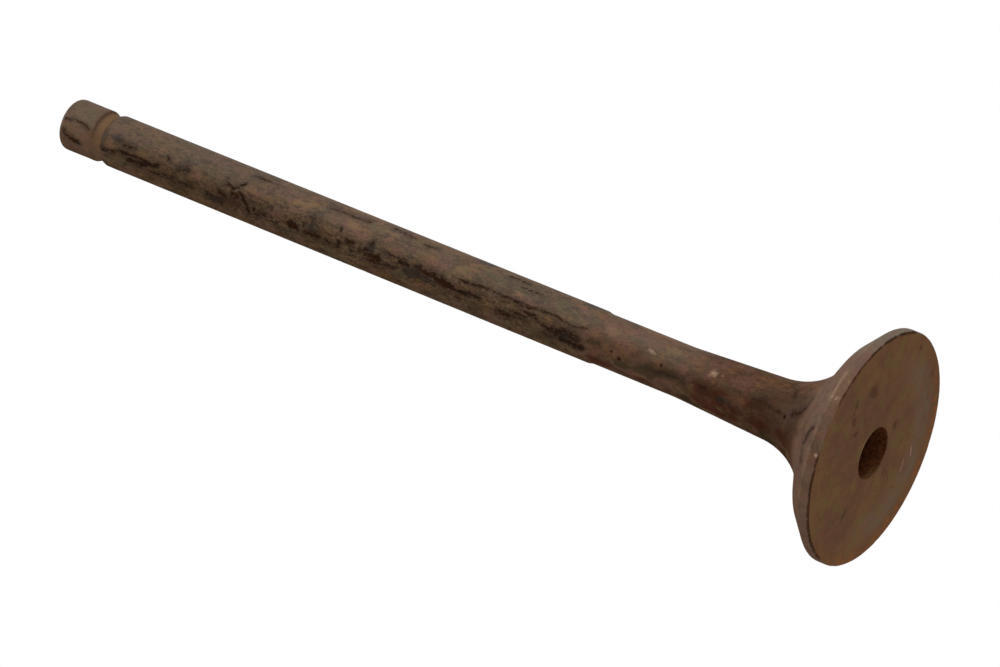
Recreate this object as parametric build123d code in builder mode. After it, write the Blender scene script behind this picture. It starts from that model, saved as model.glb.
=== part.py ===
from build123d import *

import os
from math import radians, tan

# Poppet valve of an internal combustion engine, forged and turned in one piece.
#
# The valve stands on the flat face of its head. The origin is the centre of that face, and +Z
# runs along the stem to the tip. Lengths are in millimetres and angles in degrees.

# Stem and tip
overall_length = 159.4
stem_diameter = 9.0
tip_edge_radius = 0.85

# Keeper groove, a shallow ring near the tip that the split collets grip
groove_from_tip = 7.9
groove_floor_width = 0.9
groove_depth = 0.44
groove_tip_flank = 0.7
groove_stem_flank = 1.15
groove_shoulder_radius = 0.6
groove_root_radius = 0.8

# Relieved neck between the guided stem and the head
stem_bottom = 52.3
relief_step = 1.0
neck_diameter = 8.58
taper_top = 35.4
taper_angle = 3.15

# Head: edge chamfer, margin, seat face, back cone and the sweep into the neck
head_diameter = 39.2
edge_chamfer_width = 0.23
edge_chamfer_height = 0.25
margin_height = 1.75
seat_width = 3.33
seat_angle = 44.0
back_angle = 30.0
sweep_radius = 13.9

# Blind recess in the combustion face, a little off the valve's axis
recess_diameter = 8.7
recess_depth = 4.8
recess_offset = 0.7
recess_rim_chamfer = 0.15
recess_corner_radius = 0.6
recess_point_angle = 150.0

# Radii and heights that follow from the sizes above
stem_radius = stem_diameter / 2
neck_radius = neck_diameter / 2
head_radius = head_diameter / 2
recess_radius = recess_diameter / 2
seat_inner_radius = head_radius - seat_width
seat_top = margin_height + seat_width * tan(radians(seat_angle))
back_slope = tan(radians(back_angle))
taper_slope = tan(radians(taper_angle))

# The back cone and the neck's taper meet here, before the sweep rounds the corner between them
throat_radius = (
    neck_radius + (taper_top - seat_top - seat_inner_radius * back_slope) * taper_slope
) / (1 - back_slope * taper_slope)
throat_height = seat_top + (seat_inner_radius - throat_radius) * back_slope

# Heights of the keeper groove's two floor corners and two shoulders
groove_height = overall_length - groove_from_tip
groove_floor_radius = stem_radius - groove_depth
groove_floor_bottom = groove_height - groove_floor_width / 2
groove_floor_top = groove_height + groove_floor_width / 2
groove_bottom = groove_floor_bottom - groove_stem_flank
groove_top = groove_floor_top + groove_tip_flank

# Corners of the turned outline as (radius, height, corner radius), from the face up to the tip
outline_corners = [
    (0, 0, 0),
    (head_radius - edge_chamfer_width, 0, 0),
    (head_radius, edge_chamfer_height, 0),
    (head_radius, margin_height, 0),
    (seat_inner_radius, seat_top, 0),
    (throat_radius, throat_height, sweep_radius),
    (neck_radius, taper_top, 0),
    (neck_radius, stem_bottom - relief_step, 0),
    (stem_radius, stem_bottom, 0),
    (stem_radius, groove_bottom, 0),
    (groove_floor_radius, groove_floor_bottom, groove_root_radius),
    (groove_floor_radius, groove_floor_top, groove_root_radius),
    (stem_radius, groove_top, groove_shoulder_radius),
    (stem_radius, overall_length, tip_edge_radius),
    (0, overall_length, 0),
]

with BuildPart() as valve:
    # Turned body, from half of its section
    with BuildSketch(Plane.XZ):
        with BuildLine():
            FilletPolyline(
                [(radius, height) for radius, height, _ in outline_corners],
                radius=[corner for _, _, corner in outline_corners],
                close=True,
            )
        make_face()
    revolve(axis=Axis.Z)

    # Blind recess with a broken rim and a shallow pointed floor
    recess_axis = Axis((-recess_offset, 0, 0), (0, 0, 1))
    point_rise = recess_radius / tan(radians(recess_point_angle / 2))
    with BuildSketch(Plane.XZ.shift_origin((-recess_offset, 0, 0))):
        with BuildLine():
            FilletPolyline(
                (0, 0),
                (recess_radius + recess_rim_chamfer, 0),
                (recess_radius, recess_rim_chamfer),
                (recess_radius, recess_depth),
                (0, recess_depth + point_rise),
                radius=[0, 0, 0, recess_corner_radius, 0],
                close=True,
            )
        make_face()
    revolve(axis=recess_axis, mode=Mode.SUBTRACT)

valve.part.label = "valve"

os.makedirs("parts", exist_ok=True)
export_step(valve.part, "parts/valve.step")
print("valve volume", round(valve.part.volume, 1), "mm3")
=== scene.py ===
import math

import bpy
import numpy as np
from mathutils import Matrix, Vector, noise


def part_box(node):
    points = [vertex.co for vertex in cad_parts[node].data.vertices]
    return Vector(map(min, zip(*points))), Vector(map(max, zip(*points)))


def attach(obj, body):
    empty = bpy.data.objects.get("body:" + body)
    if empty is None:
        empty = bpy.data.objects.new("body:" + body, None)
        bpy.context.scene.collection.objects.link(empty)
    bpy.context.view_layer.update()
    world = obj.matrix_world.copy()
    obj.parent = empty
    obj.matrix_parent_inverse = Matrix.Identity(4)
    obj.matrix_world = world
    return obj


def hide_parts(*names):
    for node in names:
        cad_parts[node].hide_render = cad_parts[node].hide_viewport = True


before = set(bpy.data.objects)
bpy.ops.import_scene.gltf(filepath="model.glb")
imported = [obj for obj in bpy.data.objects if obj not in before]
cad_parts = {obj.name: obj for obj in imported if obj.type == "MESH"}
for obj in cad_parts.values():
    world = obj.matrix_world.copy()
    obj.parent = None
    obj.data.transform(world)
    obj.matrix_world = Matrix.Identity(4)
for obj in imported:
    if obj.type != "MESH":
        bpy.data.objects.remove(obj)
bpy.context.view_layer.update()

# ---------------------------------------------------------------------------------------------
# Sizes of the valve, in millimetres and degrees. Z runs up the stem from the flat face, and a
# turn is an angle round the stem from +X towards +Y.

MM = 0.001
node_low, node_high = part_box("valve")
valve_length = (node_high.z - node_low.z) / MM
head_radius = (node_high.x - node_low.x) / 2 / MM

stem_radius = 4.5
tip_rounding = 0.85

groove_from_tip = 7.9
groove_floor_width = 0.9
groove_depth = 0.44
groove_tip_flank = 0.7
groove_stem_flank = 1.15
groove_shoulder_rounding = 0.6
groove_root_rounding = 0.8
groove_lip_rounding = 0.12

stem_bottom = 52.3
relief_step = 1.0
step_rounding = 0.5
neck_radius = 4.29
taper_top = 35.4
taper_angle = 3.15
taper_rounding = 40.0

edge_chamfer_width = 0.23
edge_chamfer_height = 0.25
edge_rounding = 0.08
margin_height = 1.75
margin_rounding = 0.25
seat_width = 3.33
seat_angle = 44.0
seat_rounding = 0.6
back_angle = 30.0
sweep_rounding = 13.9

recess_radius = 4.35
recess_depth = 4.8
recess_offset = 0.7
recess_rim_chamfer = 0.15
recess_corner_rounding = 0.6
recess_point_angle = 150.0

# Longest steps of the mesh along the outline
arc_pitch = 0.35
least_arc_steps = 7
stem_pitch = 0.5
head_pitch = 0.3
edge_pitch = 0.18
face_pitch = 0.6

# Segments of a ring, more of them where the radius is larger
stem_segments = 128
back_segments = 256
rim_segments = 512
back_starts = 7.0
rim_starts = 17.2
edge_starts = 19.2

# Innermost rings, closed with one face each
recess_floor_centre = 0.15
tip_centre = 0.2

sharp_angle = 38.0


def turned_corners():
    """Corners of the turned outline as (radius, height, rounding), from the face to the tip."""
    seat_inner = head_radius - seat_width
    seat_top = margin_height + seat_width * math.tan(math.radians(seat_angle))
    back_slope = math.tan(math.radians(back_angle))
    taper_slope = math.tan(math.radians(taper_angle))
    throat_radius = (
        neck_radius + (taper_top - seat_top - seat_inner * back_slope) * taper_slope
    ) / (1 - back_slope * taper_slope)
    throat_height = seat_top + (seat_inner - throat_radius) * back_slope
    groove_floor = stem_radius - groove_depth
    floor_bottom = valve_length - groove_from_tip - groove_floor_width / 2
    floor_top = floor_bottom + groove_floor_width
    return [
        (head_radius - edge_chamfer_width, 0, edge_rounding),
        (head_radius, edge_chamfer_height, edge_rounding),
        (head_radius, margin_height, margin_rounding),
        (seat_inner, seat_top, seat_rounding),
        (throat_radius, throat_height, sweep_rounding),
        (neck_radius, taper_top, taper_rounding),
        (neck_radius, stem_bottom - relief_step, step_rounding),
        (stem_radius, stem_bottom, step_rounding),
        (stem_radius, floor_bottom - groove_stem_flank, groove_lip_rounding),
        (groove_floor, floor_bottom, groove_root_rounding),
        (groove_floor, floor_top, groove_root_rounding),
        (stem_radius, floor_top + groove_tip_flank, groove_shoulder_rounding),
        (stem_radius, valve_length, tip_rounding),
    ]


def rounded(points):
    """The path through points (x, y, rounding), with each inner corner turned into a short arc."""
    path = [Vector(points[0][:2])]
    for before, corner, after in zip(points, points[1:], points[2:]):
        here = Vector(corner[:2])
        back = (Vector(before[:2]) - here).normalized()
        on = (Vector(after[:2]) - here).normalized()
        half = back.angle(on) / 2
        if corner[2] == 0:
            path.append(here)
            continue
        reach = corner[2] / math.tan(half)
        middle = here + (back + on).normalized() * corner[2] / math.sin(half)
        start = here + back * reach - middle
        end = here + on * reach - middle
        sweep = start.angle_signed(end)
        steps = max(least_arc_steps, int(abs(sweep) * corner[2] / arc_pitch))
        for step in range(steps + 1):
            path.append(middle + Matrix.Rotation(-sweep * step / steps, 2) @ start)
    path.append(Vector(points[-1][:2]))
    return path


def stepped(path, pitch_at):
    """The same path with its long runs divided so that no step is longer than pitch_at says."""
    fine = [path[0]]
    for here, there in zip(path, path[1:]):
        steps = max(1, math.ceil((there - here).length / pitch_at((here + there) / 2)))
        fine += [here.lerp(there, step / steps) for step in range(1, steps + 1)]
    return fine


# ---------------------------------------------------------------------------------------------
# Marks of use. On the stem, neck and head's side a place is (height, turn).

# Depths of the wear all over: broad, fine, drawn along the stem, and flaked off
broad_wear = 0.02
fine_wear = 0.01
drawn_wear = 0.012
flaked_wear = 0.03

# Depths of scores, pits and stains at a strength of 1
score_depth = 0.035
pit_depth = 0.14
stain_depth = 0.04

# Knocks along the edge of the face, deeper towards the front, which is at a turn of -90
nick_depth = 0.03
front_nick_depth = 0.15
nick_reach = 0.75
nick_height = 0.6

relief_height = 0.08      # of the fine scale that only the material shows
shake = 1.0               # how far the ragged edges of marks stray

# Burnt scores and dark cracks: from, to, half width and strength
scores = [
    ((158.6, -88), (156.6, -83), 0.16, 0.75),
    ((156.6, -83), (154.6, -82), 0.16, 0.75),
    ((154.5, -83), (153.6, -87), 0.2, 0.75),
    ((158.1, -114), (157.7, -121), 0.22, 0.8),
    ((157.7, -121), (154.6, -128), 0.2, 0.95),
    ((149.7, -120), (148.0, -116), 0.3, 1.1),
    ((148.0, -116), (146.4, -110), 0.25, 0.9),
    ((146.4, -109), (143.4, -108), 0.25, 1.1),
    ((143.4, -108), (138.2, -106), 0.2, 1.0),
    ((144.3, -120), (142.0, -118), 0.28, 1.1),
    ((142.0, -118), (140.0, -111), 0.38, 1.3),
    ((140.0, -111), (138.2, -106), 0.28, 1.1),
    ((146.8, -91), (143.6, -93), 0.25, 0.5),
    ((140.0, -126), (131.0, -124), 0.35, 0.5),
    ((137.2, -117), (134.4, -118), 0.3, 0.6),
    ((136.9, -84), (136.5, -85), 0.2, 0.9),
    ((134.4, -96), (132.2, -93), 0.22, 0.9),
    ((133.1, -77), (132.5, -86), 0.2, 0.8),
    ((127.8, -121), (124.6, -130), 0.45, 0.65),
    ((125.6, -108), (124.4, -114), 0.35, 0.95),
    ((124.8, -79), (124.3, -90), 0.15, 0.6),
    ((124.2, -85), (122.9, -93), 0.2, 1.0),
    ((122.9, -93), (122.3, -87), 0.2, 1.1),
    ((122.3, -87), (121.3, -72), 0.16, 1.1),
    ((122.9, -102), (121.8, -104), 0.28, 1.0),
    ((121.6, -95), (120.5, -101), 0.2, 1.4),
    ((120.5, -101), (119.9, -112), 0.24, 1.4),
    ((119.5, -113), (118.9, -127), 0.25, 1.15),
    ((118.3, -113), (118.1, -121), 0.22, 1.25),
    ((117.4, -126), (115.7, -120), 0.36, 0.95),
    ((110.9, -116), (109.6, -118), 0.4, 1.4),
    ((108.1, -104), (107.8, -112), 0.25, 0.9),
    ((107.6, -117), (105.0, -119), 0.45, 1.15),
    ((107.2, -85), (106.2, -84), 0.3, 0.6),
    ((104.6, -121), (100.8, -126), 0.3, 0.55),
    ((101.0, -84), (100.9, -87), 0.17, 1.1),
    ((100.9, -110), (100.7, -117), 0.2, 1.3),
    ((99.5, -103), (98.1, -102), 0.24, 1.3),
    ((98.6, -114), (97.9, -117), 0.2, 0.7),
    ((96.4, -110), (95.3, -105), 0.3, 0.95),
    ((95.1, -113), (92.6, -113), 0.35, 1.1),
    ((94.7, -94), (94.4, -84), 0.25, 0.8),
    ((94.6, -124), (92.0, -122), 0.4, 0.7),
    ((93.0, -108), (92.4, -117), 0.25, 1.3),
    ((92.0, -97), (89.2, -96), 0.2, 0.9),
    ((91.6, -119), (89.6, -120), 0.25, 0.7),
    ((88.6, -100), (88.2, -102), 0.22, 1.3),
    ((88.0, -97), (86.8, -104), 0.35, 0.7),
    ((85.6, -96), (84.8, -94), 0.25, 1.1),
    ((85.4, -100), (83.4, -104), 0.5, 0.65),
    ((83.4, -104), (82.2, -98), 0.3, 0.8),
    ((82.0, -99), (81.5, -108), 0.4, 1.3),
    ((81.5, -108), (78.2, -110), 0.4, 1.4),
    ((80.6, -97), (79.8, -105), 0.28, 1.2),
    ((78.6, -112), (75.4, -112), 0.3, 1.0),
    ((77.6, -118), (76.9, -126), 0.25, 0.6),
    ((77.2, -90), (74.9, -88), 0.15, 0.8),
    ((75.4, -111), (72.8, -108), 0.35, 0.85),
    ((74.9, -88), (71.5, -84), 0.18, 0.9),
    ((70.5, -87), (65.8, -88), 0.17, 1.0),
    ((69.0, -119), (66.8, -122), 0.28, 0.8),
    ((65.8, -88), (62.4, -87), 0.17, 0.9),
    ((65.6, -113), (63.4, -110), 0.2, 0.7),
    ((64.0, -101), (62.6, -103), 0.3, 1.0),
    ((62.4, -86), (58.8, -84), 0.17, 0.9),
    ((62.2, -99), (61.2, -108), 0.25, 0.9),
    ((61.2, -108), (60.2, -111), 0.2, 0.9),
    ((59.8, -113), (56.8, -106), 0.35, 0.8),
    ((59.4, -120), (56.0, -123), 0.4, 0.6),
    ((58.8, -84), (55.2, -90), 0.15, 0.8),
    ((58.0, -112), (53.0, -112), 0.25, 0.9),
    ((57.0, -105), (53.6, -103), 0.25, 0.9),
    ((56.6, -126), (53.8, -127), 0.4, 1.2),
    ((55.2, -90), (52.4, -84), 0.15, 0.8),
    ((53.8, -124), (52.3, -125), 0.35, 1.2),
    ((120.6, -43), (116.0, -44), 0.22, 0.6),
    ((105.0, -46), (97.4, -43), 0.25, 0.6),
    ((93.0, -31), (88.8, -37), 0.25, 0.6),
    ((86.2, -46), (84.0, -42), 0.25, 0.6),
    ((69.6, -36), (66.0, -32), 0.25, 0.65),
    ((66.4, -51), (62.4, -53), 0.2, 0.6),
    ((40.0, -114), (33.5, -107), 0.2, 0.42),
    ((29.9, -106), (28.8, -105), 0.35, 0.7),
    ((20.0, -90), (18.2, -89), 0.3, 0.55),
    ((17.0, -92), (14.8, -93), 0.22, 0.75),
    ((13.9, -56), (13.3, -65), 0.25, 0.7),
    ((12.2, -88), (10.9, -86), 0.34, 0.95),
    ((10.9, -86), (9.6, -79), 0.34, 0.9),
    ((9.6, -79), (9.0, -70), 0.3, 0.55),
    ((4.3, -101), (3.9, -96), 0.34, 1.0),
    ((3.9, -96), (3.0, -92), 0.34, 1.05),
    ((4.1, -104), (3.7, -110), 0.25, 0.5),
]

# Patches, each a middle, half its length up the stem, half its width and a strength
soot_patches = [
    ((147.6, -84), 2.2, 0.8, 1.0),
    ((133.8, -88), 1.7, 1.0, 0.7),
    ((126.0, -127), 2.4, 0.9, 0.8),
    ((106.4, -104), 1.3, 2.2, 0.7),
    ((94.8, -98), 1.4, 1.5, 0.9),
    ((84.8, -113), 4.0, 1.3, 1.0),
    ((75.8, -112), 2.6, 0.7, 0.8),
    ((56.4, -114), 4.4, 1.1, 0.9),
    ((49.6, -103), 1.0, 1.1, 0.7),
    ((75.8, -20), 2.8, 1.6, 0.7),
    ((54.4, -20), 3.4, 1.6, 0.75),
    ((46.6, -20), 2.8, 1.3, 0.3),
    ((26.0, -115), 2.4, 0.9, 0.8),
]
rust_patches = [
    ((142.0, -113), 3.2, 0.9, 0.9),
    ((122.8, -118), 2.4, 1.3, 0.8),
    ((118.0, -98), 3.0, 1.2, 0.5),
    ((93.4, -122), 1.8, 0.8, 0.8),
    ((45.6, -118), 0.9, 0.8, 0.9),
    ((23.0, -122), 2.0, 1.0, 1.1),
    ((18.6, -130), 2.6, 1.6, 1.2),
    ((29.4, -106), 1.0, 0.8, 0.9),
    ((13.6, -122), 1.3, 1.4, 0.8),
    ((3.9, -115), 1.1, 0.7, 0.8),
    ((3.4, -86), 1.4, 0.5, 0.6),
    ((4.0, -71), 0.9, 0.6, 0.6),
    ((10.4, -83), 1.0, 2.2, 0.7),
    ((3.6, -97), 0.9, 1.3, 0.6),
]
pale_patches = [
    ((141.2, -40), 1.6, 1.0, 0.8),
    ((109.8, -66), 2.4, 1.1, 1.0),
    ((99.4, -66), 2.0, 0.9, 0.8),
    ((92.0, -52), 1.8, 1.0, 0.8),
    ((78.2, -66), 1.6, 0.9, 0.8),
    ((66.2, -70), 1.6, 0.8, 0.8),
    ((48.4, -70), 1.8, 1.1, 0.9),
    ((36.4, -58), 2.2, 1.4, 0.8),
    ((11.2, -143), 1.6, 1.4, 1.1),
    ((2.8, -74), 1.0, 0.9, 1.0),
]

# Round corrosion pits: place, radius and strength
pits = [
    ((47.1, -109), 0.36, 0.9),
    ((45.5, -119), 0.42, 0.9),
    ((37.9, -96), 0.36, 1.1),
    ((20.4, -73), 0.25, 0.5),
    ((18.4, -74), 0.4, 0.5),
    ((17.5, -41), 0.3, 0.6),
    ((16.2, -60), 0.3, 0.4),
    ((13.6, -96), 0.42, 1.2),
    ((12.1, -62), 0.3, 0.5),
]

# Painted highlights: small bright places on the side
glints = [
    ((40.8, -74.5), 0.35, 0.9),
    ((40.3, -75.5), 0.5, 1.0),
    ((39.8, -76.5), 0.4, 0.8),
    ((28.8, -71), 0.9, 0.9),
    ((27.2, -71), 0.4, 0.5),
    ((1.7, -75.5), 0.35, 1.0),
    ((1.1, -75.9), 0.35, 1.0),
    ((1.9, -71), 0.6, 0.5),
    ((0.5, -66), 0.35, 0.55),
    ((0.9, -75), 0.5, 0.75),
    ((0.4, -103), 0.35, 1.1),
    ((0.4, -105), 0.25, 0.9),
]

# On the flat face a place is (x, y). Soft dark stains: middle, half sizes along x and y, strength
face_stains = [
    ((17.4, 1.4), 0.5, 0.8, 1.5),
    ((14.6, 9.2), 1.7, 0.9, 0.8),
    ((8.0, -9.2), 1.3, 2.6, 1.0),
    ((5.2, -12.8), 2.2, 0.9, 0.9),
    ((2.8, -11.4), 1.0, 0.9, 0.9),
    ((0.9, -9.0), 0.9, 0.9, 1.0),
    ((3.4, -8.0), 1.0, 1.2, 0.6),
    ((4.7, 3.4), 0.9, 1.2, 0.8),
    ((-7.6, -11.0), 0.9, 1.0, 0.7),
    ((-11.6, -1.6), 2.2, 0.8, 0.9),
    ((-4.2, 11.8), 0.9, 1.4, 0.6),
    ((-2.6, 7.6), 1.4, 2.0, 0.4),
]
face_scratches = [
    ((3.2, 12.4), (1.4, 13.8), 0.3),
    ((0.1, 12.0), (-1.4, 12.3), 0.3),
]


def outline_radius(path, height):
    """Radius of the turned outline at a height."""
    for here, there in zip(path, path[1:]):
        if min(here.y, there.y) <= height <= max(here.y, there.y) and here.y != there.y:
            share = (height - here.y) / (there.y - here.y)
            return here.x + (there.x - here.x) * share
    return stem_radius


def on_side(path, place):
    """The point of the turned surface at (height, turn)."""
    height, turn = place
    radius = outline_radius(path, height)
    angle = math.radians(turn)
    return Vector((radius * math.cos(angle), radius * math.sin(angle), height))


def on_face(place):
    return Vector((place[0], place[1], 0))


# ---------------------------------------------------------------------------------------------
# The valve's mesh: rings turned about the axis

def segments_at(radius):
    if radius > rim_starts:
        return rim_segments
    return back_segments if radius > back_starts else stem_segments


def side_pitch(point):
    """Longest step at a point of the outline: short on the head and shortest at its edge."""
    if point.x < back_starts:
        return stem_pitch
    return edge_pitch if point.x > edge_starts else head_pitch


def ring_plan():
    """All rings as (radius, height, centre x), from the recess's floor over the rim to the tip."""
    point_rise = recess_radius / math.tan(math.radians(recess_point_angle / 2))
    recess = rounded([
        (recess_floor_centre, recess_depth + point_rise, 0),
        (recess_radius, recess_depth, recess_corner_rounding),
        (recess_radius, recess_rim_chamfer, 0),
        (recess_radius + recess_rim_chamfer, 0, 0),
    ])
    rings = [(p.x, p.y, -recess_offset) for p in stepped(recess, lambda point: head_pitch)]
    rim = turned_corners()[0][0] - edge_rounding * 2
    start = recess_radius + recess_rim_chamfer
    steps = math.ceil((rim - start) / face_pitch)
    for step in range(1, steps + 1):
        share = step / steps
        rings.append((start + (rim - start) * share, 0, -recess_offset * (1 - share)))
    outside = rounded([(rim, 0, 0)] + turned_corners() + [(tip_centre, valve_length, 0)])
    rings += [(p.x, p.y, 0) for p in stepped(outside, side_pitch)[1:]]
    return rings, outside


def stitched(lower, upper):
    """Faces between two rings of vertex numbers, where one may have twice as many as the other."""
    few, many = sorted((lower, upper), key=len)
    ratio = len(many) // len(few)
    for i in range(len(few)):
        j = (i + 1) % len(few)
        span = [many[(i * ratio + k) % len(many)] for k in range(ratio + 1)]
        if few is lower:
            yield [few[i], few[j]] + span[::-1]
        else:
            yield span + [few[j], few[i]]


def stroke_depth(points, start, end, half_width, depth):
    """How far each point is pressed in by a stroke from start to end."""
    start, end = np.array(start), np.array(end)
    along = end - start
    share = np.clip((points - start) @ along / max(along @ along, 1e-6), 0, 1)
    distance = np.linalg.norm(points - start - share[:, None] * along, axis=1)
    return depth * np.clip(1 - distance / half_width, 0, 1) ** 0.7


def worn_in(points, outside):
    """Depth in mm by which wear, scale and dents bring each point of the surface inwards."""
    depth = np.zeros(len(points))
    for i, point in enumerate(points):
        p = Vector(point)
        depth[i] = broad_wear * max(0.0, noise.noise(p * 0.45))
        depth[i] += fine_wear * max(0.0, noise.noise(p * 2.1))
        drawn = noise.noise(Vector((p.x * 2.2, p.y * 2.2, p.z * 0.12)) + Vector((7, 3, 1)))
        depth[i] += drawn_wear * max(0.0, drawn)
        flaked = noise.noise(Vector((p.x, p.y, p.z * 0.6)) * 1.4 + Vector((3, 8, 2)))
        depth[i] += flaked_wear * max(0.0, flaked - 0.35)
    for start, end, width, strength in scores:
        ends = on_side(outside, start), on_side(outside, end)
        depth += stroke_depth(points, *ends, width, score_depth * strength)
    for place, width, strength in pits:
        middle = on_side(outside, place)
        depth += stroke_depth(points, middle, middle, width, pit_depth * strength)
    for place, *sizes, strength in face_stains:
        middle = on_face(place)
        depth += stroke_depth(points, middle, middle, min(sizes), stain_depth * strength)
    return depth


def rim_nicks(point):
    """Depth of the knocks along the edge between the margin and the face."""
    turn = math.atan2(point[1], point[0])
    along = Vector((math.cos(turn), math.sin(turn), 0)) * head_radius
    knocks = noise.noise(along * 0.55 + Vector((1, 4, 9))) + 0.5 * noise.noise(along * 1.9)
    front = 0.5 - 0.5 * math.sin(turn)
    return (nick_depth + front_nick_depth * front ** 2) * max(0.0, knocks - 0.05)


def turned_valve():
    rings, outside = ring_plan()
    points, numbers = [], []
    for radius, height, centre in rings:
        count = segments_at(radius)
        numbers.append(list(range(len(points), len(points) + count)))
        for k in range(count):
            angle = 2 * math.pi * k / count
            points.append((centre + radius * math.cos(angle), radius * math.sin(angle), height))
    faces = [f for lower, upper in zip(numbers, numbers[1:]) for f in stitched(lower, upper)]
    faces += [numbers[0][::-1], numbers[-1]]
    mesh = bpy.data.meshes.new("valve_body")
    mesh.from_pydata(points, [], faces)
    mesh.update()
    places = np.array(points)
    normals = np.empty(len(points) * 3)
    mesh.vertices.foreach_get("normal", normals)
    normals = normals.reshape(-1, 3)
    depth = worn_in(places, outside)
    radii = np.hypot(places[:, 0], places[:, 1])
    near_edge = (radii > head_radius - nick_reach) & (places[:, 2] < nick_height)
    for i in np.flatnonzero(near_edge):
        off = math.hypot(head_radius - radii[i], places[i, 2])
        depth[i] += rim_nicks(places[i]) * max(0.0, 1 - off / nick_reach)
    moved = places - normals * depth[:, None]
    mesh.vertices.foreach_set("co", (moved * MM).ravel())
    mesh.shade_smooth()
    mesh.set_sharp_from_angle(angle=math.radians(sharp_angle))
    mesh.update()
    valve = bpy.data.objects.new("valve_body", mesh)
    bpy.context.collection.objects.link(valve)
    return valve, outside


# ---------------------------------------------------------------------------------------------
# Shader maths

class Value:
    """A socket of a shader tree. Arithmetic on it adds Math nodes."""

    def __init__(self, nodes, socket):
        self.nodes = nodes
        self.socket = socket

    def __add__(self, other):
        return self.nodes.math("ADD", self, other)

    def __sub__(self, other):
        return self.nodes.math("SUBTRACT", self, other)

    def __rsub__(self, other):
        return self.nodes.math("SUBTRACT", other, self)

    def __mul__(self, other):
        return self.nodes.math("MULTIPLY", self, other)

    __radd__ = __add__
    __rmul__ = __mul__


class Nodes:
    """A shader tree in which every node comes from add()."""

    def __init__(self, owner):
        owner.use_nodes = True
        self.tree = owner.node_tree
        self.tree.nodes.clear()

    def add(self, kind, settings=None, sockets=None, output=0):
        """A new node with its settings made first, then its sockets set or linked."""
        node = self.tree.nodes.new(kind)
        for name, value in (settings or {}).items():
            setattr(node, name, value)
        for name, value in (sockets or {}).items():
            if isinstance(value, Value):
                self.tree.links.new(value.socket, node.inputs[name])
            else:
                node.inputs[name].default_value = value
        return Value(self, node.outputs[output]) if node.outputs else None

    def finish(self, surface, kind="ShaderNodeOutputMaterial"):
        self.add(kind, None, {"Surface": surface})

    def math(self, operation, *values):
        return self.add("ShaderNodeMath", {"operation": operation}, dict(enumerate(values)))

    def vector(self, operation, *values, output=0):
        sockets = dict(enumerate(values))
        return self.add("ShaderNodeVectorMath", {"operation": operation}, sockets, output)

    def scaled(self, vector, factor):
        sockets = {0: vector, "Scale": factor}
        return self.add("ShaderNodeVectorMath", {"operation": "SCALE"}, sockets)

    def ramp(self, value, low, high):
        """0 below low, 1 above high and smooth between; low may be the higher number."""
        sockets = {"Value": value, "From Min": low, "From Max": high, "To Min": 0.0, "To Max": 1.0}
        return self.add("ShaderNodeMapRange", {"interpolation_type": "SMOOTHSTEP"}, sockets)

    def blend(self, share, under, over):
        """The colour over laid on the colour under, as far as share says."""
        sockets = {0: share, 6: under, 7: over}
        return self.add("ShaderNodeMix", {"data_type": "RGBA"}, sockets, output=2)

    def noise(self, place, size, stretch, detail, shift=0.0):
        """Noise from 0 to 1 whose blotches are about size millimetres wide."""
        grid = self.vector("MULTIPLY", place, tuple(s / size for s in stretch))
        grid = self.vector("ADD", grid, (shift, shift * 0.7, shift * 0.3))
        sockets = {"Vector": grid, "Scale": 1.0, "Detail": detail}
        return self.add("ShaderNodeTexNoise", None, sockets)

    def stroke(self, place, start, end, half_width, strength=1.0):
        """The strength on the line from start to end, falling to 0 at half_width from it."""
        along = end - start
        away = self.vector("SUBTRACT", place, tuple(start))
        share = self.vector("DOT_PRODUCT", away, tuple(along / along.length_squared), output=1)
        share = self.math("MAXIMUM", self.math("MINIMUM", share, 1.0), 0.0)
        away = self.vector("SUBTRACT", away, self.scaled(tuple(along), share))
        distance = self.vector("LENGTH", away, output=1)
        return self.math("MULTIPLY_ADD", distance, -strength / half_width, strength)

    def blot(self, place, middle, reach, strength):
        """The strength at the middle, falling to 0 on the ellipsoid with half axes in reach."""
        shift = tuple(-m / r for m, r in zip(middle, reach))
        away = self.vector("MULTIPLY_ADD", place, tuple(1 / r for r in reach), shift)
        distance = self.vector("LENGTH", away, output=1)
        return self.math("MULTIPLY_ADD", distance, -strength, strength)

    def strongest(self, values):
        """The highest of the values, each made only after the one before is taken in."""
        values = iter(values)
        top = next(values)
        for value in values:
            top = self.math("MAXIMUM", top, value)
        return top


def tint(red, green, blue):
    """A display colour from 0 to 255 as linear RGBA."""
    shares = (red / 255, green / 255, blue / 255)
    linear = [c / 12.92 if c <= 0.04045 else ((c + 0.055) / 1.055) ** 2.4 for c in shares]
    return (*linear, 1.0)


# ---------------------------------------------------------------------------------------------
# Finish of the valve

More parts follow.
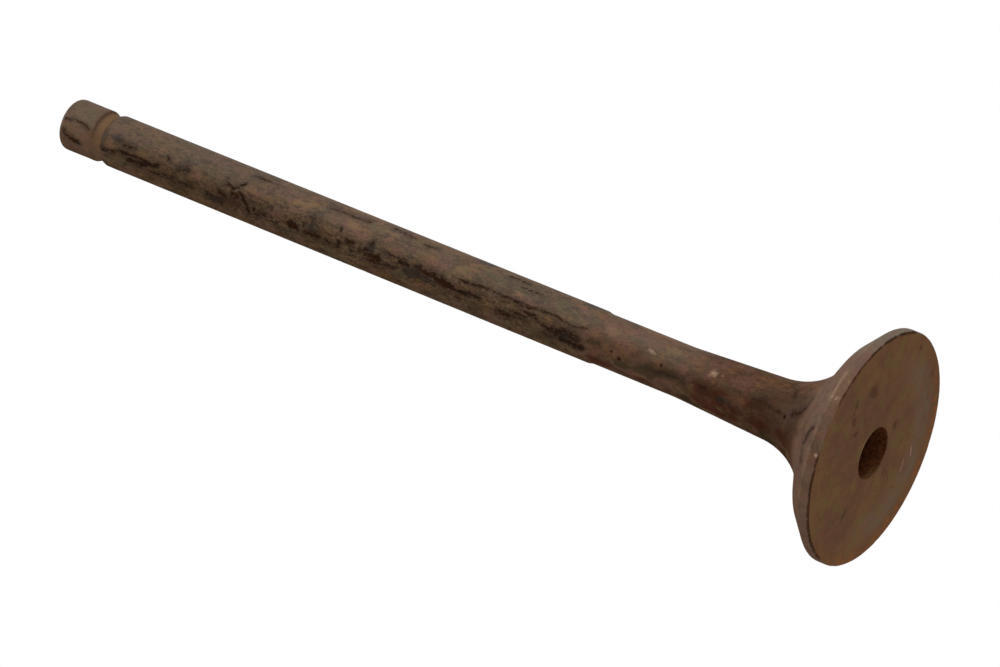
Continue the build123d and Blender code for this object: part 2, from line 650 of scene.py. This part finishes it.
class Surface:
    """Places and regions of the valve, as values that every layer of its finish shares."""

    def __init__(self, n):
        self.place = n.scaled(n.add("ShaderNodeTexCoord", output=3), 1 / MM)
        self.height = n.add("ShaderNodeSeparateXYZ", None, {0: self.place}, output=2)
        self.across = n.vector("MULTIPLY", self.place, (1, 1, 0))
        self.radius = n.vector("LENGTH", self.across, output=1)
        self.outward = n.vector("NORMALIZE", self.across)
        self.on_flat = n.ramp(self.height, 0.1, 0.03)
        self.on_head = n.ramp(self.radius, 7.5, 11.0) * (1 - self.on_flat)
        mouth = recess_radius + recess_offset + recess_rim_chamfer
        inside = n.ramp(self.radius, mouth, mouth - 0.1)
        inside = inside * n.ramp(self.height, recess_depth + 3.2, recess_depth + 2.2)
        self.in_recess = inside * n.ramp(self.height, 0.04, 0.2)
        self.on_neck = n.ramp(self.height, stem_bottom + 0.1, stem_bottom - 0.9)
        shove = {i: n.noise(self.place, 1.3, (1, 1, 0.5), 2.0, 31.0 + 9 * i) for i in range(3)}
        push = n.vector("SUBTRACT", n.add("ShaderNodeCombineXYZ", None, shove), (0.5, 0.5, 0.5))
        self.shaken = n.vector("ADD", self.place, n.scaled(push, shake))
        self.blotch = n.noise(self.place, 2.4, (1, 1, 0.6), 4.0)
        self.hue = n.noise(self.place, 3.0, (1, 1, 0.6), 3.0, 5.0)
        self.drawn = n.noise(self.shaken, 0.5, (1, 1, 0.15), 4.0, 9.0)
        self.speck = n.noise(self.place, 0.42, (1, 1, 0.7), 4.0, 13.0)
        self.grain = n.noise(self.shaken, 0.32, (1, 1, 0.55), 3.0, 91.0)

    def near_turn(self, n, turn, full, none):
        """1 within full degrees of a turn round the valve, 0 beyond none."""
        ray = (math.cos(math.radians(turn)), math.sin(math.radians(turn)), 0)
        closeness = n.vector("DOT_PRODUCT", self.outward, ray, output=1)
        return n.ramp(closeness, math.cos(math.radians(none)), math.cos(math.radians(full)))

    def near_height(self, n, height, full, none):
        """1 within full millimetres of a height, 0 beyond none."""
        return n.ramp(n.math("ABSOLUTE", self.height - height), none, full)

    def near_radius(self, n, radius, full, none):
        """1 within full millimetres of a radius, 0 beyond none."""
        return n.ramp(n.math("ABSOLUTE", self.radius - radius), none, full)

    def on_stem(self, n):
        """1 from the step at the neck up."""
        return n.ramp(self.height, stem_bottom - 0.5, stem_bottom + 0.7)


def oxide_colour(n, at):
    """Mottled brown oxide: duller on the stem, redder on the neck, paler on the head's back."""
    tone = n.ramp(at.blotch * 0.6 + at.speck * 0.4, 0.38, 0.6)
    stem = n.blend(tone, tint(70, 50, 33), tint(96, 74, 50))
    neck = n.blend(tone, tint(80, 54, 36), tint(98, 70, 50))
    lower = n.blend(tone, tint(64, 39, 24), tint(84, 57, 41))
    neck = n.blend(n.ramp(at.height + (at.hue - 0.5) * 20.0, 39.0, 30.0), neck, lower)
    back = n.blend(tone, tint(84, 58, 43), tint(100, 74, 56))
    colour = n.blend(at.on_neck, stem, neck)
    colour = n.blend(at.on_head, colour, back)
    colour = n.blend(n.ramp(at.hue, 0.5, 0.62) * 0.45, colour, tint(110, 78, 45))
    olive = n.ramp(at.hue, 0.48, 0.36) * (0.42 - at.on_head * 0.3)
    colour = n.blend(olive, colour, tint(82, 73, 50))
    pink = n.noise(at.place, 2.6, (1, 1, 0.7), 3.0, 61.0)
    colour = n.blend(n.ramp(pink, 0.5, 0.62) * 0.5, colour, tint(102, 68, 60))
    moss = n.noise(at.place, 1.5, (1, 1, 0.6), 3.0, 67.0)
    colour = n.blend(n.ramp(moss, 0.52, 0.66) * 0.4 * (1 - at.on_head), colour, tint(74, 66, 40))
    return n.blend(n.ramp(moss, 0.44, 0.32) * 0.35 * (1 - at.on_head), colour, tint(114, 76, 48))


def streaked_and_shaded(n, at, colour):
    """Fine dark streaks drawn along the stem, painted shade on its upper side towards the tip, and
    the joints between flakes of scale.
    """
    streaks = n.ramp(at.drawn, 0.5, 0.68) * (1 - at.on_head) * (1 - at.on_neck * 0.6)
    colour = n.blend(streaks * 0.26, colour, tint(46, 33, 23))
    # Painted shade: the stem's upper side towards the tip is darker and greyer
    upper = at.near_turn(n, -28, 26, 62) * n.ramp(at.height, 108.0, 126.0)
    colour = n.blend(upper * 0.34, colour, tint(68, 58, 47))
    mottle = n.noise(at.shaken, 0.9, (1, 1, 0.5), 4.0, 17.0)
    groove = valve_length - groove_from_tip
    tip = n.ramp(at.height, groove - 3.5, groove + 0.5)
    mottled = n.ramp(mottle, 0.5, 0.64) * (1 - at.on_head * 0.7)
    mottled = mottled * (1 - at.on_neck * 0.5) * (1 - tip * 0.6)
    colour = n.blend(mottled * 0.5, colour, tint(48, 34, 24))
    pale_tip = tip * at.near_turn(n, -120, 36, 76) * 0.3
    colour = n.blend(pale_tip, colour, tint(108, 84, 68))
    gritty = 0.32 - at.on_neck * 0.12 - tip * 0.16
    colour = n.blend(n.ramp(at.grain, 0.52, 0.66) * gritty, colour, tint(44, 31, 22))
    pale_grit = n.ramp(at.grain, 0.46, 0.32) * (0.2 - at.on_neck * 0.06)
    colour = n.blend(pale_grit, colour, tint(124, 102, 78))
    flakes = n.vector("MULTIPLY", at.shaken, (0.5, 0.5, 0.22))
    to_edge = {"feature": "DISTANCE_TO_EDGE"}
    joint = n.add("ShaderNodeTexVoronoi", to_edge, {"Vector": flakes, "Scale": 1.0})
    joints = n.ramp(joint + (at.speck - 0.5) * 0.3, 0.12, 0.02) * n.ramp(at.blotch, 0.46, 0.6)
    joints = joints * at.near_height(n, 119.0, 5.0, 11.0) * 0.5
    return n.blend(joints, colour, tint(44, 28, 18))


def soiled(n, at, colour):
    """Soot along one side of the stem and dark rust under the neck and round its root."""
    band = at.near_turn(n, -114, 4, 28) * at.on_stem(n) * n.ramp(at.height, 150.0, 142.0)
    pepper = n.ramp(at.grain + (at.blotch - 0.5) * 0.5, 0.5, 0.64) * n.ramp(at.drawn, 0.38, 0.58)
    band = band * n.ramp(at.blotch * 0.6 + at.drawn * 0.4, 0.36, 0.6)
    colour = n.blend(band * 0.15, colour, tint(42, 28, 18))
    peppered = at.near_turn(n, -110, 11, 34) * at.near_height(n, 94.0, 18.0, 40.0) * at.on_stem(n)
    colour = n.blend(peppered * pepper * 0.52, colour, tint(29, 17, 10))
    fleck = n.ramp(at.grain, 0.44, 0.3) * peppered
    colour = n.blend(fleck * 0.3, colour, tint(118, 96, 72))
    under = at.near_turn(n, -128, 18, 50) * at.on_neck * n.ramp(at.radius, 9.2, 7.2)
    cloud = n.noise(at.shaken, 4.2, (1, 1, 0.6), 4.0, 37.0)
    colour = n.blend(under * n.ramp(cloud, 0.5, 0.38) * 0.75, colour, tint(64, 28, 14))
    colour = n.blend(under * n.ramp(cloud, 0.5, 0.62) * 0.7, colour, tint(50, 40, 22))
    root = at.near_height(n, 13.5, 3.5, 8.0) * n.ramp(at.radius, 10.5, 7.5)
    root = root * at.near_turn(n, -100, 24, 50)
    return n.blend(root * 0.55, colour, tint(58, 37, 25))


def groove_wear_and_shade(n, at, colour):
    """The keeper groove: rubbed tan in its floor with painted shade towards its lower side, and
    grime with painted shade in the corner by the tip.
    """
    groove = valve_length - groove_from_tip
    tan = n.blend(n.ramp(at.blotch, 0.4, 0.6), tint(120, 94, 68), tint(106, 81, 56))
    floor = at.near_height(n, groove - 0.15, 0.45, 0.9)
    # Rubbed tan, with painted shade: less of it towards a turn of -150
    colour = n.blend(floor * (0.9 - at.near_turn(n, -150, 42, 74) * 0.5), colour, tan)
    # Painted shade with some grime in the corner by the tip, strongest near a turn of -50
    corner_dirt_and_shade = at.near_height(n, groove + 0.95, 0.03, 0.34)
    corner_dirt_and_shade = corner_dirt_and_shade * (0.25 + at.near_turn(n, -50, 30, 55) * 0.75)
    colour = n.blend(corner_dirt_and_shade * n.ramp(at.blotch, 0.3, 0.52) * 0.5, colour, tint(46, 31, 20))
    lip = at.near_height(n, groove - 1.4, 0.2, 0.9) * at.near_turn(n, -94, 14, 32)
    colour = n.blend(lip * 0.75, colour, tint(54, 42, 24))
    ring = at.near_height(n, 128.1, 0.03, 0.2) * n.ramp(at.hue, 0.4, 0.55)
    return n.blend(ring * 0.45, colour, tint(66, 42, 22))


def patched(n, at, outside, colour):
    """Soot, red rust and rubbed tan in patches with ragged edges."""
    ragged = (at.blotch - 0.5) * 1.6 + (at.speck - 0.5) * 1.2
    for patches, share, paint in (
        (pale_patches, 0.5, tint(116, 90, 60)),
        (rust_patches, 0.65, tint(60, 26, 17)),
        (soot_patches, 0.8, tint(42, 36, 32)),
    ):
        field = n.strongest(
            n.blot(at.shaken, on_side(outside, middle), (width, width, length), strength)
            for middle, length, width, strength in patches
        )
        colour = n.blend(n.ramp(field + ragged, 0.05, 0.65) * share, colour, paint)
    return colour


def burnt_marks(n, at, outside):
    """How black the scores are, and how brown the stain round them is."""
    field = n.strongest(
        n.stroke(
            at.shaken,
            on_side(outside, start),
            on_side(outside, end),
            width * 1.5 + 0.1,
            strength,
        )
        for start, end, width, strength in scores
    )
    ragged = (at.speck - 0.5) * 1.3 + (at.drawn - 0.5) * 1.3 + (at.grain - 0.5) * 1.6
    black = n.ramp(field + ragged, 0.02, 0.95) * (1 - at.on_neck * 0.25)
    return black, n.ramp(field * 0.7 + ragged * 0.4, -0.9, 0.5)


def pitted(n, at, outside):
    field = n.strongest(
        n.blot(at.place, on_side(outside, middle), (size * 1.3,) * 3, strength)
        for middle, size, strength in pits
    )
    return n.ramp(field + (at.speck - 0.5) * 0.6, 0.1, 0.75)


def painted_glints_and_scratches(n, at, outside):
    """Painted highlights on small places of the side, and pale scratches on the face."""
    field = n.strongest(
        n.blot(at.shaken, on_side(outside, middle), (size * 1.2,) * 3, strength)
        for middle, size, strength in glints
    )
    # Painted highlights at the listed glints
    worn = n.ramp(field + (at.speck - 0.5) * 1.0, 0.1, 0.9) * 0.7
    field = n.strongest(
        n.stroke(at.shaken, on_face(start), on_face(end), half_width)
        for start, end, half_width in face_scratches
    )
    scratch = n.ramp(field + (at.speck - 0.5) * 0.8, 0.0, 0.9) * at.on_flat
    return n.math("MAXIMUM", worn, scratch * 0.35)


def edge_wear_and_painted_light(n, at, colour):
    """The seat's outer edge is rubbed pale in places with a painted highlight on it, the margin is
    grey on one side, and the head has painted light towards a turn of -150.
    """
    # Rubbed pale edge with a painted highlight on it, strongest near a turn of -60
    edge = at.near_height(n, margin_height + 0.15, 0.05, 0.6) * n.ramp(at.hue, 0.42, 0.58)
    edge = edge * at.on_head * (0.15 + at.near_turn(n, -60, 14, 24) * 0.3)
    colour = n.blend(edge, colour, tint(140, 117, 92))
    grey = at.near_turn(n, -20, 12, 32) * n.ramp(at.radius, 15.0, 17.0) * (1 - at.on_flat)
    colour = n.blend(grey * 0.6, colour, tint(98, 92, 78))
    # Painted light: the head is lighter towards a turn of -150
    rubbed = at.near_turn(n, -150, 24, 58) * at.on_head * 0.22
    colour = n.blend(rubbed, colour, tint(126, 98, 80))
    olive = n.noise(at.place, 1.6, (1, 1, 1), 3.0, 83.0)
    colour = n.blend(n.ramp(olive, 0.54, 0.7) * at.on_head * 0.25, colour, tint(108, 94, 64))
    return n.blend(n.ramp(olive, 0.46, 0.34) * at.on_head * 0.35, colour, tint(104, 68, 56))


def chamfer_dirt(n, at):
    """How dark the chamfer between margin and face is: thick, thin and gone in turn."""
    wander = (n.noise(at.place, 1.2, (1, 1, 1), 3.0, 41.0) - 0.5) * 0.5
    thin = at.near_turn(n, -56, 16, 24) * 0.07
    band = n.ramp(n.math("ABSOLUTE", at.height - 0.1) + wander + thin, 0.27, 0.06)
    sides = n.strongest([at.near_turn(n, -42, 33, 38), at.near_turn(n, -136, 31, 37)])
    return band * n.ramp(at.radius + wander, head_radius - 0.5, head_radius - 0.3) * sides * 0.9


def flat_face_colour(n, at):
    """The sooted face: soft ochre and pink clouds, a greyer arc inside a rusty rim."""
    cloud = n.noise(at.place, 6.0, (1, 1, 1), 4.0, 51.0)
    colour = n.blend(n.ramp(cloud, 0.36, 0.62), tint(88, 63, 46), tint(97, 71, 47))
    mottle = n.ramp(at.blotch * 0.7 + at.speck * 0.3, 0.42, 0.6)
    colour = n.blend(mottle * 0.5, colour, tint(84, 57, 42))
    colour = n.blend(n.ramp(at.hue, 0.48, 0.36) * 0.45, colour, tint(92, 77, 44))
    rose = n.noise(at.place, 2.2, (1, 1, 1), 3.0, 77.0)
    colour = n.blend(n.ramp(rose, 0.5, 0.62) * 0.4, colour, tint(100, 66, 52))
    colour = n.blend(n.ramp(at.speck, 0.56, 0.7) * 0.25, colour, tint(66, 44, 29))
    arc = at.near_radius(n, 14.2, 0.8, 4.2) * at.near_turn(n, 80, 50, 100)
    arc = arc * n.ramp(at.blotch * 0.5 + at.speck * 0.5, 0.36, 0.6) * 0.65
    colour = n.blend(arc, colour, tint(99, 79, 65))
    grey = at.near_radius(n, 15.4, 0.1, 1.5) * at.near_turn(n, 80, 60, 75)
    grey = grey * n.ramp(at.hue, 0.44, 0.58)
    colour = n.blend(grey * 0.4, colour, tint(88, 80, 64))
    rim = n.ramp(at.radius + (at.blotch - 0.5) * 3.0, head_radius - 3.0, head_radius - 0.6)
    colour = n.blend(rim * (0.15 + at.near_turn(n, 95, 50, 120) * 0.2), colour, tint(104, 70, 42))
    fleck = n.noise(at.place, 1.3, (1, 1, 1), 2.0, 57.0)
    spots = n.ramp(at.radius + (fleck - 0.5) * 14.0, head_radius - 1.0, head_radius + 0.4)
    spots = spots * at.near_turn(n, 110, 50, 100)
    return n.blend(spots * n.ramp(at.radius, 16.0, 17.0) * 0.6, colour, tint(120, 68, 36))


def face_dirt(n, at):
    field = n.strongest(
        n.blot(at.shaken, on_face(middle), (along, across, 1.0), strength)
        for middle, along, across, strength in face_stains
    )
    return n.ramp(field + (at.speck - 0.5) * 1.0 + (at.blotch - 0.5) * 1.6, 0.05, 0.8) * at.on_flat


def recess_crust_and_painted_light(n, at, colour):
    """The blind recess is crusted dark, with a painted highlight on its rim on one side and
    painted light near its mouth on one side.
    """
    # Painted highlight along the rim on one side
    rim = at.near_radius(n, recess_radius + 0.4, 0.1, 0.35) * at.near_turn(n, -125, 30, 60)
    rim = rim * at.on_flat
    colour = n.blend(rim * 0.35, colour, tint(122, 100, 78))
    grain = n.noise(at.place, 0.5, (1, 1, 1), 3.0, 23.0)
    crust = n.blend(n.ramp(grain, 0.3, 0.7), tint(58, 29, 17), tint(92, 52, 30))
    # Painted light inside the mouth of the recess, on the side towards a turn of 180
    painted_wall_light = n.ramp(at.height, 1.5, 0.7) * at.near_turn(n, 180, 35, 75)
    crust = n.blend(painted_wall_light * 0.6, crust, tint(104, 76, 46))
    return n.blend(at.in_recess, colour, crust)


def far_side_scores(n, at):
    """Scores of the same kind round the rest of the stem."""
    field = n.noise(at.shaken, 1.2, (1, 1, 0.16), 4.0, 71.0)
    scored = n.ramp(field + (at.speck - 0.5) * 0.3, 0.6, 0.74) * (1 - at.on_head)
    return scored * (1 - at.on_flat) * (1 - at.near_turn(n, -90, 65, 95))


def painted(n, at, outside):
    """The whole colour, and how far each place is scored or pitted."""
    colour = streaked_and_shaded(n, at, oxide_colour(n, at))
    colour = soiled(n, at, colour)
    colour = patched(n, at, outside, colour)
    colour = groove_wear_and_shade(n, at, colour)
    colour = edge_wear_and_painted_light(n, at, colour)
    colour = n.blend(at.on_flat, colour, flat_face_colour(n, at))
    colour = n.blend(face_dirt(n, at) * 0.5, colour, tint(50, 33, 22))
    black, stain = burnt_marks(n, at, outside)
    colour = n.blend(stain * 0.55, colour, tint(46, 31, 21))
    chamfer = chamfer_dirt(n, at)
    flaws = n.strongest([black, pitted(n, at, outside), far_side_scores(n, at), chamfer])
    char = n.blend(n.ramp(at.hue, 0.45, 0.56), tint(42, 21, 7), tint(33, 20, 12))
    colour = n.blend(flaws * 0.9, colour, char)
    # Painted highlights and the face's pale scratches, in one pale colour
    colour = n.blend(painted_glints_and_scratches(n, at, outside), colour, tint(166, 134, 112))
    return recess_crust_and_painted_light(n, at, colour), flaws


def steel(n, colour, roughness, gloss, normal):
    return n.add("ShaderNodeBsdfPrincipled", None, {
        "Base Color": colour,
        "Roughness": roughness,
        "Specular IOR Level": gloss,
        "Normal": normal,
    })


def worn_valve_steel(outside):
    """Brown oxide on worn steel, part matt and part satin."""
    material = bpy.data.materials.new("worn_valve_steel")
    n = Nodes(material)
    at = Surface(n)
    colour, flaws = painted(n, at, outside)
    relief = at.drawn * 0.35 + at.speck * 0.5 + at.blotch * 0.6
    bumps = {"Strength": 0.35, "Distance": relief_height * MM, "Height": relief}
    normal = n.add("ShaderNodeBump", None, bumps)
    dull = steel(n, colour, 0.95, 0.0, normal)
    roughness = 0.45 + (at.blotch - 0.5) * 0.3 + flaws * 0.2 + at.on_head * 0.06
    satin = steel(n, colour, roughness, 0.5, normal)
    in_groove = at.near_height(n, valve_length - groove_from_tip, 1.2, 1.8)
    at_root = at.near_height(n, 16.0, 9.0, 21.0) * at.on_neck * (1 - at.on_head)
    sheen = 0.38 * (1 - flaws * 0.9) * (1 - at.on_flat * 0.9) * (1 - at.in_recess)
    sheen = sheen * (1 - in_groove * 0.7) * (1 - at_root * 0.7)
    n.finish(n.add("ShaderNodeMixShader", None, {0: sheen, 1: dull, 2: satin}))
    return material


# ---------------------------------------------------------------------------------------------
# Stage, light and camera, with lengths in metres

floor_half = 1.6
floor_gap = 0.0004
mirrored_rise = 0.6                   # share of the way up at which the mirrored white is full
room_light = 0.46


def pale_floor():
    """A one-sided floor under the valve, seen from above with its shadow and clear from below."""
    mesh = bpy.data.meshes.new("floor")
    signs = [(-1, -1), (1, -1), (1, 1), (-1, 1)]
    mesh.from_pydata([(x * floor_half, y * floor_half, 0) for x, y in signs], [], [(0, 1, 2, 3)])
    floor = bpy.data.objects.new("floor", mesh)
    bpy.context.collection.objects.link(floor)
    floor.location.z = -floor_gap
    material = bpy.data.materials.new("pale_floor")
    n = Nodes(material)
    paint = n.add("ShaderNodeBsdfDiffuse", None, {"Color": (0.86, 0.86, 0.85, 1)})
    clear = n.add("ShaderNodeBsdfTransparent")
    behind = n.add("ShaderNodeNewGeometry", output=6)
    by_camera = n.add("ShaderNodeLightPath", output=0)
    shown = by_camera * (1 - behind)
    n.finish(n.add("ShaderNodeMixShader", None, {0: shown, 1: clear, 2: paint}))
    mesh.materials.append(material)


view_rise = math.radians(27.53)       # the camera looks up at the face by this much
view_roll = math.radians(22.33)       # and the stem falls by this much across the picture
camera_place = Vector((-5.49, -821.44, -359.20)) * MM
sensor_width = 36                     # in millimetres, as the camera takes it
focal_share = 5.7207                  # focal length over the width of the sensor
ahead = Vector((0, math.cos(view_rise), math.sin(view_rise)))
level = Vector((1, 0, 0))
upright = level.cross(ahead)


def picture_axes():
    """The picture's right and up directions."""
    tilt = Matrix.Rotation(math.pi / 2 - view_roll, 3, ahead)
    return tilt @ level, tilt @ upright


def studio_camera():
    right, up = picture_axes()
    data = bpy.data.cameras.new("camera")
    data.sensor_width = sensor_width
    data.lens = focal_share * sensor_width
    data.clip_start, data.clip_end = 0.05, 20
    camera = bpy.data.objects.new("camera", data)
    turned = Matrix((right, up, -ahead)).transposed().to_4x4()
    camera.matrix_world = Matrix.Translation(camera_place) @ turned
    bpy.context.collection.objects.link(camera)
    bpy.context.scene.camera = camera


def soft_box(name, direction, distance, size, power):
    """A square soft light that looks at the middle of the valve."""
    data = bpy.data.lights.new(name, "AREA")
    data.shape, data.size, data.energy = "SQUARE", size, power
    lamp = bpy.data.objects.new(name, data)
    middle = Vector((0, 0, valve_length / 2 * MM))
    lamp.location = middle + direction.normalized() * distance
    lamp.rotation_mode = "QUATERNION"
    lamp.rotation_quaternion = direction.to_track_quat("Z", "Y")
    bpy.context.collection.objects.link(lamp)


def white_world():
    """White where it is seen, mirrored bright above and dim below, and plain for the rest."""
    world = bpy.data.worlds.new("studio")
    bpy.context.scene.world = world
    n = Nodes(world)
    up = picture_axes()[1]
    towards = n.add("ShaderNodeTexCoord", output=0)
    above = n.vector("DOT_PRODUCT", towards, tuple(up), output=1)
    by_camera = n.add("ShaderNodeLightPath", output=0)
    glossy = n.add("ShaderNodeLightPath", output=3)
    through = n.add("ShaderNodeLightPath", output=6)
    mirrored = n.math("MAXIMUM", glossy, through)
    lit = mirrored * n.ramp(above, 0.0, mirrored_rise) + (1 - mirrored) * room_light
    strength = by_camera + (1 - by_camera) * lit
    back = n.add("ShaderNodeBackground", None, {"Color": (1, 1, 1, 1), "Strength": strength})
    n.finish(back, "ShaderNodeOutputWorld")


# ---------------------------------------------------------------------------------------------
# The valve in its frame, and the stage round it

scene = bpy.context.scene
scene.view_settings.view_transform = "Standard"

valve, outside = turned_valve()
valve.data.materials.append(worn_valve_steel(outside))
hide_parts("valve")
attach(valve, "root")

pale_floor()
studio_camera()
right, up = picture_axes()
soft_box("key", up * 0.85 - ahead * 0.5, distance=0.7, size=1.1, power=5.2)
soft_box("fill", -up * 0.8 - ahead * 0.2, distance=0.7, size=1.1, power=1.9)
soft_box("face", Vector((0, 0, -1)), distance=0.6, size=0.5, power=1.2)
soft_box("tip", Vector((0, -0.2, 1)), distance=0.8, size=0.5, power=2.4)
white_world()
